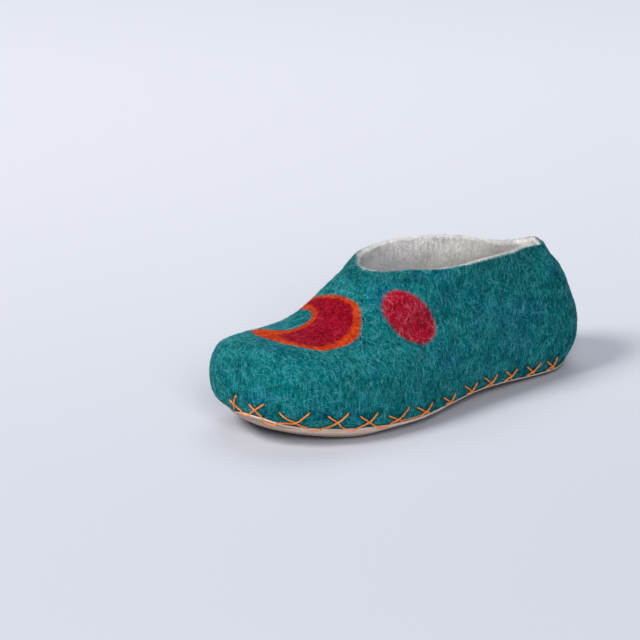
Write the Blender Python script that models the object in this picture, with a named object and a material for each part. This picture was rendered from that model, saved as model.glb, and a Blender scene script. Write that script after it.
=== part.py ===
"""A left house slipper of wet-felted wool on a stitched leather sole, standing on the floor.

The felt upper is one seamless bag, foot bottom included, open at the collar. A thin leather sole is
cupped round its underside, and a loose felt insole lies inside. Metres, +Z up, toe towards -Y, and the
wearer's left, which is the slipper's outer side, towards +X.
"""

import bmesh
import bpy
import numpy as np

MM = 0.001

# Driving sizes, in millimetres
LENGTH = 266.0
BALL_WIDTH = 104.0
HEEL_HEIGHT = 77.0
INSTEP_HEIGHT = 89.0
FELT = 4.2
LEATHER = 2.0
INSOLE = 3.5
SEATING_GAP = 0.3

# The underside, in shares of LENGTH: two flats on one plane, the arch between them, and the toe spring
HEEL_FLAT = (0.04, 0.30)
BALL_FLAT = (0.56, 0.765)
ARCH_LIFT = 3.0
TOE_SPRING = 6.0
TOE_SPRING_END = 0.92
TOE_SPRING_POWER = 1.25

# The edge of the underside, by rings at these insets from the seam. Round the toe and the ball it is
# cupped up like a dish, CUP_WIDTH wide, and behind CUP_START it slopes down to the flat over EDGE_WIDTH.
EDGE_WIDTH = 13.0
CUP_WIDTH = 18.0
BOTTOM_INSETS = (1.5, 3.5, 7.0, 12.0, 18.0)
CUP_START = 0.64
CUP_FULL = 0.77

# The insole reaches out to this one of BOTTOM_INSETS
INSOLE_INSET = 7.0

# The left curve of the last: the toe swings towards the big toe, and the outer side tapers earlier
TOE_SWING = 4.5
SWING_START = 0.53
OUTER_TAPER = 0.07

# Sections of the last, from the seam over the sole up to the collar, each a ring right round the foot.
# heel and toe are the ring's ends in percent of LENGTH from the heel. heel_half, waist_half and
# ball_half are half widths in percent of BALL_WIDTH. toe_cap is the length of the rounded toe in
# ball half widths, and toe_power and heel_power say how square the ends are, with 2 for an ellipse.
# heel_z, quarter_z and waist_z are in percent of HEEL_HEIGHT, ball_z and toe_z of INSTEP_HEIGHT.
# lean is how much the quarter stands higher on the outer side and lower inside, in percent of HEEL_HEIGHT.
COLUMNS = (
    "heel", "toe", "heel_half", "waist_half", "ball_half", "toe_cap", "toe_power", "heel_power",
    "heel_z", "quarter_z", "waist_z", "ball_z", "toe_z", "lean",
)
SECTIONS = {
    "seam":       (3.2, 95.1, 30.3, 35.5, 48.0, 1.50, 2.17, 2.11, 9.0, 5.7, 10.2, 8.2, 16.6, 0.0),
    "lower_side": (0.9, 98.6, 34.2, 39.5, 50.0, 1.42, 2.19, 2.12, 20.4, 18.4, 19.7, 15.7, 24.0, 0.0),
    "girth":      (0.0, 100.0, 36.3, 41.4, 50.0, 1.36, 2.24, 2.12, 35.6, 35.9, 36.1, 29.3, 37.6, 0.0),
    "upper_side": (1.3, 98.9, 35.6, 40.5, 48.1, 1.29, 2.37, 2.12, 55.6, 54.4, 54.1, 44.0, 54.4, 0.0),
    "toe_box":    (2.9, 94.6, 33.1, 37.8, 41.2, 1.32, 2.38, 2.10, 71.6, 68.6, 70.2, 53.9, 66.6, 0.0),
    "low_vamp":   (3.9, 82.9, 29.9, 35.5, 35.0, 1.38, 2.20, 2.00, 82.8, 78.3, 81.6, 62.4, 66.4, 0.0),
    "high_vamp":  (5.4, 71.2, 25.3, 31.3, 33.8, 1.42, 2.10, 1.90, 91.5, 88.5, 93.3, 77.9, 80.6, 0.6),
    "collar":     (6.7, 61.7, 13.3, 25.8, 33.7, 1.50, 1.86, 1.80, 100.0, 102.1, 109.7, 99.1, 100.0, 2.0),
}
RINGS_PER_SECTION = 3
POINTS_PER_SIDE = 32

# How a side's points are shared: up to HEEL_SHARE round the heel, from TOE_SHARE on round the toe
HEEL_SHARE = 0.22
TOE_SHARE = 0.62
WAIST_SHARE = 0.45
HEEL_CAP = 1.05

# The cut edge of the felt at the collar is slightly rounded
RIM_ROUND = 1.2
RIM_SEGMENTS = 2
RIM_ANGLE = np.radians(50)

TEAL_FELT = (0.012, 0.170, 0.185, 1.0)
CREAM_FELT = (0.560, 0.520, 0.480, 1.0)
PALE_LEATHER = (0.520, 0.370, 0.290, 1.0)


def clear_scene():
    for obj in list(bpy.data.objects):
        bpy.data.objects.remove(obj, do_unlink=True)


def felt_or_leather(name, colour, roughness):
    material = bpy.data.materials.new(name)
    material.use_nodes = True
    shader = material.node_tree.nodes["Principled BSDF"]
    shader.inputs["Base Color"].default_value = colour
    shader.inputs["Roughness"].default_value = roughness
    shader.inputs["Metallic"].default_value = 0.0
    return material


def hermite(t, start, end, start_slope, end_slope):
    """A cubic from start to end as t goes from 0 to 1, with those slopes at its ends."""
    return (
        (2 * t**3 - 3 * t**2 + 1) * start
        + (t**3 - 2 * t**2 + t) * start_slope
        + (3 * t**2 - 2 * t**3) * end
        + (t**3 - t**2) * end_slope
    )


def through(knots, values, at):
    """A smooth curve through values at knots, level at both ends."""
    slopes = np.concatenate([[0], (values[2:] - values[:-2]) / (knots[2:] - knots[:-2]), [0]])
    cell = np.clip(np.searchsorted(knots, at, side="right") - 1, 0, len(knots) - 2)
    width = knots[cell + 1] - knots[cell]
    t = (at - knots[cell]) / width
    return hermite(t, values[cell], values[cell + 1], slopes[cell] * width, slopes[cell + 1] * width)


def spline_rows(rows, steps):
    """The rows with steps - 1 more between each two, on a natural cubic spline down each column."""
    count = len(rows)
    left, right = np.eye(count), np.zeros((count, count))
    for i in range(1, count - 1):
        left[i, i - 1 : i + 2] = 1, 4, 1
        right[i, i - 1 : i + 2] = 6, -12, 6
    curvature = np.linalg.solve(left, right @ rows)
    made = []
    for i in range(count - 1):
        for step in range(steps):
            b = step / steps
            a = 1 - b
            bend = (a**3 - a) * curvature[i] + (b**3 - b) * curvature[i + 1]
            made.append(a * rows[i] + b * rows[i + 1] + bend / 6)
    return np.array(made + [rows[-1]])


def section_table():
    """SECTIONS in millimetres, one row each in the order of COLUMNS, from the driving sizes."""
    along, across = LENGTH / 100, BALL_WIDTH / 100
    back, front = HEEL_HEIGHT / 100, INSTEP_HEIGHT / 100
    scale = [along] * 2 + [across] * 3 + [1.0] * 3 + [back] * 3 + [front] * 2 + [back]
    return np.array(list(SECTIONS.values())) * np.array(scale)


def side_of_ring(section, outer, inset=0.0):
    """(across, along, up) of one side of a ring, heel to toe. outer is 1 on the outer side and -1 inside.

    inset draws the ring that much inwards all round."""
    s = dict(zip(COLUMNS, section))
    heel, toe = s["heel"] + inset, s["toe"] - inset
    heel_half, waist_half, ball_half = (s[k] - inset for k in ("heel_half", "waist_half", "ball_half"))
    heel_cap = heel_half * HEEL_CAP
    toe_cap = ball_half * s["toe_cap"] * (1 + OUTER_TAPER * outer)
    heel_end, toe_start = heel + heel_cap, toe - toe_cap
    waist = heel_end + WAIST_SHARE * (toe_start - heel_end)

    u = np.linspace(0, 1, POINTS_PER_SIDE + 1)
    heel_turn = np.clip(u / HEEL_SHARE, 0, 1) * np.pi / 2
    toe_turn = np.clip((1 - u) / (1 - TOE_SHARE), 0, 1) * np.pi / 2
    middle = np.clip((u - HEEL_SHARE) / (TOE_SHARE - HEEL_SHARE), 0, 1)
    along = heel_end + middle * (toe_start - heel_end)
    half = through(
        np.array([heel_end, waist, toe_start]), np.array([heel_half, waist_half, ball_half]), along
    )
    heel_round, toe_round = 2 / s["heel_power"], 2 / s["toe_power"]
    along = along - heel_cap * np.cos(heel_turn) ** heel_round + toe_cap * np.cos(toe_turn) ** toe_round
    half = half * np.sin(heel_turn) ** heel_round * np.sin(toe_turn) ** toe_round

    stations = np.array([0, HEEL_SHARE, HEEL_SHARE + WAIST_SHARE * (TOE_SHARE - HEEL_SHARE), TOE_SHARE, 1])
    heights = np.array([s[k] for k in ("heel_z", "quarter_z", "waist_z", "ball_z", "toe_z")])
    heights[1] += outer * s["lean"]
    up = through(stations, heights, u)
    swing = np.clip((along / LENGTH - SWING_START) / (1 - SWING_START), 0, None)
    return np.stack([outer * half - TOE_SWING * swing**2, along, up], axis=1)


def ring(section, inset=0.0):
    """A closed ring: up the outer side from the heel to the toe, and back down the inner side."""
    outer = side_of_ring(section, 1, inset)
    inner = side_of_ring(section, -1, inset)
    return np.concatenate([outer, inner[-2:0:-1]])


def underside(along):
    """Height of the sole's underside above the floor along the foot: flats, arch and toe spring."""
    share = along / LENGTH
    arch = np.clip((share - HEEL_FLAT[1]) / (BALL_FLAT[0] - HEEL_FLAT[1]), 0, 1)
    spring = np.clip((share - BALL_FLAT[1]) / (TOE_SPRING_END - BALL_FLAT[1]), 0, None)
    return ARCH_LIFT * np.sin(np.pi * arch) ** 2 + TOE_SPRING * spring**TOE_SPRING_POWER


def bottom_ring(inset):
    """A ring of the felt's underside, this far in from the seam, on its edge or on the flat part."""
    points = ring(section_table()[0], inset)
    resting = underside(points[:, 1]) + LEATHER + SEATING_GAP
    cup = np.clip((points[:, 1] / LENGTH - CUP_START) / (CUP_FULL - CUP_START), 0, 1)
    cup = cup**2 * (3 - 2 * cup)
    across_edge = np.minimum(inset / (EDGE_WIDTH + cup * (CUP_WIDTH - EDGE_WIDTH)), 1)
    drop = cup * np.sqrt(1 - (1 - across_edge) ** 2) + (1 - cup) * across_edge
    points[:, 2] += (resting - points[:, 2]) * drop
    return points


def placed(points):
    """Points in the part's own frame: origin under the middle of the slipper, toe towards -Y."""
    girth = ring(section_table()[2])
    middle = (girth[:, 0].max() + girth[:, 0].min()) / 2
    return np.stack([points[:, 0] - middle, LENGTH / 2 - points[:, 1], points[:, 2]], axis=1) * MM


def add_ring(bm, points):
    return [bm.verts.new(p) for p in placed(points)]


def skin_between(bm, lower, upper):
    for i in range(len(lower)):
        j = (i + 1) % len(lower)
        bm.faces.new((lower[i], lower[j], upper[j], upper[i]))


def close_across(bm, loop):
    """Fills the innermost ring with rungs from side to side, from the heel's end to the toe's."""
    last = len(loop)
    for i in range(last // 2):
        corners = [loop[i], loop[(last - i) % last], loop[(last - i - 1) % last], loop[i + 1]]
        bm.faces.new(list(dict.fromkeys(corners)))


def skin(sections):
    """The felt's outer skin, open at the top: from the middle of the underside out and up the sections."""
    bm = bmesh.new()
    rings = [add_ring(bm, bottom_ring(inset)) for inset in sorted(BOTTOM_INSETS, reverse=True)]
    rings += [add_ring(bm, ring(section)) for section in sections]
    close_across(bm, rings[0])
    for lower, upper in zip(rings, rings[1:]):
        skin_between(bm, lower, upper)
    bmesh.ops.recalc_face_normals(bm, faces=bm.faces)
    lowest = min(bm.faces, key=lambda face: face.calc_center_median().z)
    if lowest.normal.z > 0:
        bmesh.ops.reverse_faces(bm, faces=bm.faces)
    bm.normal_update()
    return bm


def bottom_layer(offset, rings):
    """The innermost rings of the skin, moved outwards by offset."""
    bm = skin(spline_rows(section_table(), RINGS_PER_SECTION)[:2])
    for vert in bm.verts:
        vert.co += vert.normal * offset * MM
    bm.verts.ensure_lookup_table()
    bmesh.ops.delete(bm, geom=bm.verts[rings * 2 * POINTS_PER_SIDE :], context="VERTS")
    bm.normal_update()
    return bm


def add_walled(name, bm, material, thickness, outwards):
    """The skin as an object, given its thickness outwards or inwards by a modifier."""
    mesh = bpy.data.meshes.new(name)
    bm.to_mesh(mesh)
    bm.free()
    mesh.materials.append(material)
    mesh.shade_smooth()
    obj = bpy.data.objects.new(name, mesh)
    bpy.context.scene.collection.objects.link(obj)
    wall = obj.modifiers.new("wall", "SOLIDIFY")
    wall.thickness = thickness * MM
    wall.offset = 1.0 if outwards else -1.0
    return obj


def make_upper(material):
    bm = skin(spline_rows(section_table(), RINGS_PER_SECTION))
    upper = add_walled("upper", bm, material, FELT, outwards=False)
    rim = upper.modifiers.new("rim", "BEVEL")
    rim.width = RIM_ROUND * MM
    rim.segments = RIM_SEGMENTS
    rim.limit_method = "ANGLE"
    rim.angle_limit = RIM_ANGLE
    return upper


def make_sole(material):
    """The leather lies round the felt's underside and ends at the seam."""
    bm = bottom_layer(SEATING_GAP, len(BOTTOM_INSETS) + 1)
    return add_walled("sole", bm, material, LEATHER, outwards=True)


def make_insole(material):
    """A loose sheet lying on the felt's inner bottom."""
    rings = sum(inset >= INSOLE_INSET for inset in BOTTOM_INSETS)
    bm = bottom_layer(-FELT - SEATING_GAP, rings)
    return add_walled("insole", bm, material, INSOLE, outwards=False)


def main():
    clear_scene()
    make_upper(felt_or_leather("teal_felt", TEAL_FELT, 0.95))
    make_sole(felt_or_leather("pale_leather", PALE_LEATHER, 0.65))
    make_insole(felt_or_leather("cream_felt", CREAM_FELT, 0.95))


main()
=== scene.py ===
"""The looks of a left house slipper of wet-felted wool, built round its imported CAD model.

The felt, the leather and the insole are drawn again, finer, from the part's own sections, and get the
wool's lumps and fibres, the shapes felted into it, and the sewing. Sizes are in millimetres until a mesh
is made, in the slipper's own frame: toe towards -Y, the wearer's left towards +X, floor at z = 0.
"""

import bpy
import numpy as np
from mathutils import Matrix, Vector, noise
from mathutils.bvhtree import BVHTree


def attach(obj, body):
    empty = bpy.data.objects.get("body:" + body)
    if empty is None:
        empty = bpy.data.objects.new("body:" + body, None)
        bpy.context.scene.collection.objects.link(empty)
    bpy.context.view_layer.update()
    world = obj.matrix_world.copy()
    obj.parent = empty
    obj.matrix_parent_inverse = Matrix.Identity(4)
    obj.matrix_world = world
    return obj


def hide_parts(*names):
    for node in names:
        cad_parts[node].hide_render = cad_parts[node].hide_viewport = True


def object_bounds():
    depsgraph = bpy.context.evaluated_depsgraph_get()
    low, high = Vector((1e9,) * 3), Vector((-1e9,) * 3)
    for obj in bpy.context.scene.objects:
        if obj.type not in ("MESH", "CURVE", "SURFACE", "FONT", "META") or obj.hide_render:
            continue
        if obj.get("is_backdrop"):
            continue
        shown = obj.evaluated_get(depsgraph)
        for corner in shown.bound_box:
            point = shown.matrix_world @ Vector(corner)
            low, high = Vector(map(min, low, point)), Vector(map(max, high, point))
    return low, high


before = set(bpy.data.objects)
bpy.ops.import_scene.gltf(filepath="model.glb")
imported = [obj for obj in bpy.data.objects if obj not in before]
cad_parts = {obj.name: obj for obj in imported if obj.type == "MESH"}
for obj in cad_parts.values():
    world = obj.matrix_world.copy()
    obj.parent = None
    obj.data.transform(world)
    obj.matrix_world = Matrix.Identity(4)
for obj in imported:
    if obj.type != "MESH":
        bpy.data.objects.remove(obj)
cad_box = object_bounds()

MM = 0.001
SEED = 20

# The part's own sizes and sections, as its source has them, in millimetres and in shares
LENGTH = 266.0
BALL_WIDTH = 104.0
HEEL_HEIGHT = 77.0
INSTEP_HEIGHT = 89.0
FELT = 4.2
LEATHER = 2.0
INSOLE = 3.5
SEATING_GAP = 0.3
HEEL_FLAT = (0.04, 0.30)
BALL_FLAT = (0.56, 0.765)
ARCH_LIFT = 3.0
TOE_SPRING = 6.0
TOE_SPRING_END = 0.92
TOE_SPRING_POWER = 1.25
EDGE_WIDTH = 13.0
CUP_WIDTH = 18.0
CUP_START = 0.64
CUP_FULL = 0.77
INSOLE_INSET = 7.0
TOE_SWING = 4.5
SWING_START = 0.53
OUTER_TAPER = 0.07
COLUMNS = (
    "heel", "toe", "heel_half", "waist_half", "ball_half", "toe_cap", "toe_power", "heel_power",
    "heel_z", "quarter_z", "waist_z", "ball_z", "toe_z", "lean",
)
SECTIONS = {
    "seam":       (3.2, 95.1, 30.3, 35.5, 48.0, 1.50, 2.17, 2.11, 9.0, 5.7, 10.2, 8.2, 16.6, 0.0),
    "lower_side": (0.9, 98.6, 34.2, 39.5, 50.0, 1.42, 2.19, 2.12, 20.4, 18.4, 19.7, 15.7, 24.0, 0.0),
    "girth":      (0.0, 100.0, 36.3, 41.4, 50.0, 1.36, 2.24, 2.12, 35.6, 35.9, 36.1, 29.3, 37.6, 0.0),
    "upper_side": (1.3, 98.9, 35.6, 40.5, 48.1, 1.29, 2.37, 2.12, 55.6, 54.4, 54.1, 44.0, 54.4, 0.0),
    "toe_box":    (2.9, 94.6, 33.1, 37.8, 41.2, 1.32, 2.38, 2.10, 71.6, 68.6, 70.2, 53.9, 66.6, 0.0),
    "low_vamp":   (3.9, 82.9, 29.9, 35.5, 35.0, 1.38, 2.20, 2.00, 82.8, 78.3, 81.6, 62.4, 66.4, 0.0),
    "high_vamp":  (5.4, 71.2, 25.3, 31.3, 33.8, 1.42, 2.10, 1.90, 91.5, 88.5, 93.3, 77.9, 80.6, 0.6),
    "collar":     (6.7, 61.7, 13.3, 25.8, 33.7, 1.50, 1.86, 1.80, 100.0, 102.1, 109.7, 99.1, 100.0, 2.0),
}
HEEL_SHARE = 0.22
TOE_SHARE = 0.62
WAIST_SHARE = 0.45
HEEL_CAP = 1.05

# How finely the skin is drawn here
SIDE_POINTS = 160
RINGS_PER_SECTION = 13
INNER_STEP = 2
INNER_CORNER = (-4.0, 0.4)
UNDERSIDE_INSETS = (24.0, 18.0, 15.0, 12.0, 9.5, 7.0, 5.5, 4.5, 3.5, 2.5, 1.5, 0.7)
CAP_COLUMNS = 10

# Shapes felted into the wool, each on a plane that faces it. azimuth and elevation say where the plane
# faces, and the outline's corners are (across, up) on that plane, from the slipper's origin.
CRESCENT_FACING = (10, 70)
CRESCENT_OUTLINE = (
    (-43.0, -65.5), (-30.5, -74.0), (-21.5, -75.5), (-11.0, -76.0), (-3.0, -74.0), (6.0, -71.0),
    (11.5, -66.5), (15.5, -56.0), (17.5, -46.5), (18.0, -40.0), (16.0, -35.0), (12.5, -28.5),
    (7.0, -23.0), (0.0, -22.0), (-8.5, -21.0), (-17.5, -21.0), (-26.5, -20.0), (-35.0, -18.5),
    (-37.0, -23.5), (-35.0, -29.5), (-25.5, -33.5), (-19.0, -36.5), (-15.5, -42.0), (-16.5, -48.5),
    (-19.0, -53.0), (-23.5, -58.0), (-31.0, -60.5), (-42.0, -59.5),
)
CRESCENT_CORE = (
    (-21.5, -65.2), (-17.0, -68.4), (-11.0, -69.8), (-2.0, -68.5), (6.5, -65.0), (11.0, -55.5),
    (12.0, -46.0), (12.0, -40.0), (9.5, -32.0), (4.5, -26.0), (-1.0, -24.3), (-8.0, -23.6),
    (-17.0, -23.2), (-29.5, -22.3), (-32.0, -26.0), (-22.0, -31.0), (-15.0, -36.0), (-12.0, -43.0),
    (-13.0, -49.5), (-15.7, -55.7), (-18.6, -60.3), (-20.6, -62.9),
)
SPOT_FACING = (75, 35)
SPOT_OUTLINE = (
    (-20.5, 47.5), (-27.0, 45.5), (-31.0, 39.5), (-30.5, 32.0), (-26.0, 23.0), (-17.5, 16.0),
    (-8.5, 13.5), (-0.5, 17.0), (3.0, 24.5), (0.5, 32.0), (-6.0, 39.0), (-13.0, 44.5),
)

# Soft troughs and ridges in the felt: middle and direction in the slipper's frame, half length, half
# width, and height, below 0 for a trough
CREASES = (
    # x, y, z, along x, along y, along z, half length, half width, height
    (46.0, -22.0, 42.0, 0.1, 0.3, 1.0, 16.0, 5.5, -1.3),
    (50.0, -36.0, 36.0, 0.1, 0.2, 1.0, 18.0, 7.0, 0.6),
    (41.0, 8.0, 44.0, 0.0, 0.5, 1.0, 14.0, 7.0, -0.7),
    (34.0, 92.0, 50.0, 0.0, 0.2, 1.0, 14.0, 6.0, -0.6),
    (33.0, 104.0, 22.0, -0.3, 1.0, 0.3, 12.0, 5.0, -0.7),
    (30.0, 112.0, 34.0, -0.5, 0.8, 0.5, 10.0, 5.0, 0.6),
    (-40.0, -30.0, 40.0, -0.2, 0.3, 1.0, 16.0, 6.0, -1.0),
    (-38.0, 20.0, 40.0, 0.0, -0.4, 1.0, 15.0, 7.0, -0.8),
    (0.0, 122.0, 66.0, 1.0, 0.0, 0.0, 14.0, 4.0, -0.9),
    (-20.0, -108.0, 38.0, 1.0, -0.3, 0.2, 16.0, 7.0, -0.5),
    (18.0, -112.0, 30.0, 1.0, 0.4, 0.3, 15.0, 6.0, 0.4),
)
LUMPS = (
    # size, height
    (26.0, 0.50),
    (9.0, 0.28),
    (4.0, 0.13),
)

# The sewing: one thread that dips to the leather's edge and rises between holes in the felt, so that its
# rises cross. Stations run along the seam from the toe's tip, above 0 on the outer side, and heights up
# the felt from the seam. Each hole is given from its crossing.
STITCHES = (
    # crossing, height, back to the lower hole, its height, on to the upper hole, its height
    (-258.0, 3.0, -6.0, 8.0, 4.5, 8.5),
    (-241.5, 3.5, -6.0, 8.0, 4.0, 9.0),
    (-225.0, 3.5, -6.0, 8.0, 5.0, 9.0),
    (-208.0, 4.0, -6.5, 8.5, 4.5, 8.5),
    (-190.5, 3.5, -7.5, 8.5, 4.0, 8.5),
    (-170.0, 2.5, -8.0, 8.0, 4.5, 7.5),
    (-148.5, 2.0, -7.5, 7.0, 5.5, 6.5),
    (-126.0, 2.5, -7.5, 7.0, 6.5, 7.0),
    (-103.5, 3.0, -7.0, 7.0, 8.0, 8.5),
    (-81.0, 5.0, -6.0, 9.5, 6.5, 10.0),
    (-63.0, 7.0, -5.5, 12.0, 7.0, 13.5),
    (-46.0, 8.0, -6.0, 14.0, 5.5, 15.5),
    (-30.0, 9.0, -5.0, 14.5, 3.0, 15.0),
    (0.5, 14.5, -2.9, 17.4, 2.5, 22.0),
    (12.5, 15.0, -2.5, 18.5, 5.0, 20.0),
    (32.0, 7.5, -7.5, 15.5, 8.0, 15.5),
    (55.5, 8.0, -5.5, 12.5, 7.0, 13.5),
    (76.0, 5.5, -6.0, 10.0, 6.0, 10.5),
    (97.5, 3.0, -7.0, 6.5, 9.5, 9.0),
    (121.5, 2.5, -8.0, 7.0, 6.5, 6.5),
    (146.0, 1.5, -7.5, 6.5, 5.0, 6.0),
    (168.0, 2.5, -8.5, 8.0, 4.0, 7.5),
    (186.5, 3.5, -8.5, 9.0, 4.0, 8.5),
    (205.0, 4.5, -6.0, 8.5, 4.5, 8.5),
    (226.0, 3.5, -6.5, 8.0, 6.0, 9.0),
    (243.5, 3.5, -5.5, 8.0, 3.0, 9.0),
    (283.0, 3.5, -6.0, 8.0, 4.5, 8.5),
    (303.0, 3.5, -6.0, 8.0, 4.5, 8.5),
)
DIP = 0.4
HIDING_FROM = (95.0, 120.0)
TIP_GAP = (-22.0, -6.0)
THREAD = 1.14
STRAND = 0.335
STRAND_SIDES = 7
PLY_PITCH = 4.2
PATH_POINTS = 56
HOLE_RADIUS = 0.95
HOLE_SIDES = 12
PULL_DEPTH = 0.55
PULL_RADIUS = 2.6
SHADE_RADIUS = 1.7

# How far, in millimetres, single fibres carry a colour over the edge of its shape
STRAY = 0.5

# The value of a colour where its shape is nowhere near
FAR_OUTSIDE = -20.0

# Wool fibres: where the felt's own lie, as places with the way they run there
FLOW = (
    # x, y, z, along x, along y, along z, reach, share of fibres that follow
    (34.0, 100.0, 40.0, -0.1, 0.3, 1.0, 45.0, 0.85),
    (40.0, 50.0, 40.0, 0.0, 0.25, 1.0, 35.0, 0.85),
    (46.0, -5.0, 35.0, 0.0, 0.15, 1.0, 30.0, 0.8),
    (40.0, -20.0, 60.0, -0.3, -0.6, 1.0, 22.0, 0.75),
    (48.0, -50.0, 35.0, -0.2, -0.5, 1.0, 25.0, 0.6),
    (35.0, -95.0, 30.0, -0.8, -0.6, 0.6, 30.0, 0.4),
    (0.0, -125.0, 35.0, -1.0, 0.0, 0.3, 28.0, 0.4),
    (0.0, -90.0, 68.0, 1.0, 0.4, 0.0, 25.0, 0.45),
    (5.0, -45.0, 78.0, 0.3, -1.0, 0.0, 25.0, 0.5),
    (-40.0, 80.0, 40.0, 0.0, 0.3, 1.0, 50.0, 0.8),
    (-46.0, -30.0, 40.0, 0.0, -0.3, 1.0, 45.0, 0.6),
    (0.0, 130.0, 40.0, 0.1, 0.0, 1.0, 35.0, 0.85),
)

FIBRES = (
    # name, place, count, seed, length, width, height, tone, rise of one end, share that follows, steps
    ("felt_fibres_long", "outside", 6200, 0, (5, 12), (0.14, 0.32), (0.05, 0.12), (0.2, 1.0), 0.0, 1.0, 7),
    ("felt_fibres_curly", "outside", 6200, 1, (5, 11), (0.12, 0.26), (0.05, 0.12), (0.2, 1.0), 0.0, 0.6, 7),
    ("felt_fibres_short", "outside", 7000, 5, (2, 5), (0.20, 0.50), (0.05, 0.10), (-0.35, 0.35), 0.0, 1.0, 5),
    ("felt_fuzz", "outside", 5500, 2, (1.2, 3), (0.06, 0.14), (0.06, 0.12), (0.2, 1.0), 0.9, 0.4, 5),
    ("rim_fuzz", "rim", 3600, 4, (1.5, 4), (0.08, 0.18), (0.05, 0.10), (0.0, 0.8), 1.0, 0.2, 5),
    ("lining_fibres", "inside", 6500, 3, (2.5, 7), (0.15, 0.40), (0.06, 0.12), (-0.5, 0.5), 0.0, 0.4, 5),
)

# The rim's fuzz is thicker in front of this line, and the lining's fibres grow on so many loops
THROAT_Y = -8.0
LINING_LOOPS = 36

# The leather is thinned towards its edge, least of all round the toe
SKIVE_WIDTH = 7.0
SKIVED = 0.34

# How far the leather's edge stands over the seam round the toe's tip, along the seam
EDGE_STATION = (-20.0, -10.0, -4.0, 1.0, 8.0, 15.0, 20.0, 24.0, 29.0, 37.0)
EDGE_HEIGHT = (0.0, 1.0, 5.0, 9.5, 10.5, 9.5, 7.0, 4.0, 1.6, 0.0)
EDGE_STEPS = 5

# The top of the heel leans forward and stands up a little at its tip
HEEL_FORWARD = 3.8
HEEL_FORWARD_U = 0.11
HEEL_LIFT = 3.0
HEEL_LIFT_U = 0.09

# The collar's front: its outer corner stands up a little, and its edge is thicker
CORNER_LIFT = 1.3
CORNER_U = 0.82
CORNER_REACH = 0.06
THROAT_ROLL = 0.50

# The rim: the felt narrows a little towards its cut edge and rounds over
RIM_DROP = 1.4
RIM_HEIGHT = 1.9
HALF_RIM = 3.0
RIM_STEPS = 10

# The wall's thickness by level: a soft bevel inside, under the rim
WALL_LEVELS = (4.9, 5.6, 6.4, 7.0)
WALL_SHARES = (1.0, 1.18, 1.38, 0.92)
THROAT_BEVEL = 1.6

# How far the white lining shows over the rim's middle line, along each side from the heel
SPILL_U = (0.0, 0.10, 0.22, 0.30, 0.45, 0.70, 0.80, 0.87, 0.95, 1.0)
SPILL_OUTER = (0.6, -0.8, -0.2, 0.7, 1.0, 1.1, 1.2, 1.4, 2.2, 2.6)
SPILL_INNER = (0.6, 1.8, 2.4, 2.6, 2.4, 2.0, 1.2, 0.4, 1.2, 2.6)


def facing(azimuth, elevation):
    """(right, up, back) of a camera or plane there. Azimuth 0 is before the toe, 90 at the outer side."""
    a, e = np.radians([azimuth, elevation])
    back = np.array([np.sin(a) * np.cos(e), -np.cos(a) * np.cos(e), np.sin(e)])
    right = np.array([np.cos(a), np.sin(a), 0.0])
    return right, np.cross(back, right), back


# Camera, floor and light

CAMERA_FACING = (48.70, 18.00)
CAMERA_DISTANCE = 3.0
CAMERA_AIM_HEIGHT = 0.040
CAMERA_AIM_RIGHT = -0.04910
CAMERA_AIM_UP = 0.00876
CAMERA_LENS = 278.0
FLOOR_RADIUS = 12.0
FLOOR_SIDES = 64

# The even light all round, and the backdrop that the camera sees: colour and strength
WORLD_LIGHT = (0.68, 0.79, 1.0), 0.20
BACKDROP = (0.835, 0.84, 0.885), 0.97
LIGHTS = (
    # name, azimuth and elevation, distance, width, watts, colour
    ("key", (-8, 46), 4.2, 1.5, 124.0, (1.0, 0.985, 0.965)),
    ("back", (228, 62), 4.0, 3.0, 43.0, (0.93, 0.965, 1.0)),
    ("front", (56, 29), 3.5, 1.6, 74.0, (0.975, 0.985, 1.0)),
)


def add_camera():
    right, up, back = facing(*CAMERA_FACING)
    aim = np.array([0.0, 0.0, CAMERA_AIM_HEIGHT]) + right * CAMERA_AIM_RIGHT + up * CAMERA_AIM_UP
    data = bpy.data.cameras.new("camera")
    data.lens = CAMERA_LENS
    data.sensor_width = 36.0
    data.clip_start = 0.05
    data.clip_end = 60.0
    camera = bpy.data.objects.new("camera", data)
    bpy.context.scene.collection.objects.link(camera)
    camera.matrix_world = Matrix(
        [[right[i], up[i], back[i], aim[i] + back[i] * CAMERA_DISTANCE] for i in range(3)] + [[0, 0, 0, 1]]
    )
    bpy.context.scene.camera = camera


def add_area_light(name, place, distance, size, power, colour):
    _, _, back = facing(*place)
    data = bpy.data.lights.new(name, "AREA")
    data.shape = "DISK"
    data.size = size
    data.energy = power
    data.color = colour
    light = bpy.data.objects.new(name, data)
    bpy.context.scene.collection.objects.link(light)
    light.location = Vector(back) * distance
    light.rotation_mode = "QUATERNION"
    light.rotation_quaternion = Vector(back).to_track_quat("Z", "Y")


def add_world(colour, strength, shown_colour, shown_strength):
    """A dim even light all round, and a pale backdrop beyond the floor."""
    world = bpy.data.worlds.new("studio")
    bpy.context.scene.world = world
    world.use_nodes = True
    tree = world.node_tree
    light = tree.nodes["Background"]
    light.inputs["Color"].default_value = (*colour, 1.0)
    light.inputs["Strength"].default_value = strength
    shown = node(tree, "ShaderNodeBackground", {"Color": (*shown_colour, 1.0), "Strength": shown_strength})
    seen = node(tree, "ShaderNodeLightPath").outputs["Is Camera Ray"]
    both = node(tree, "ShaderNodeMixShader", {0: seen, 1: light.outputs[0], 2: shown.outputs[0]})
    tree.links.new(both.outputs[0], tree.nodes["World Output"].inputs["Surface"])


# Shape: the part's own functions, with more points


def hermite(t, start, end, start_slope, end_slope):
    return (
        (2 * t**3 - 3 * t**2 + 1) * start
        + (t**3 - 2 * t**2 + t) * start_slope
        + (3 * t**2 - 2 * t**3) * end
        + (t**3 - t**2) * end_slope
    )


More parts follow.
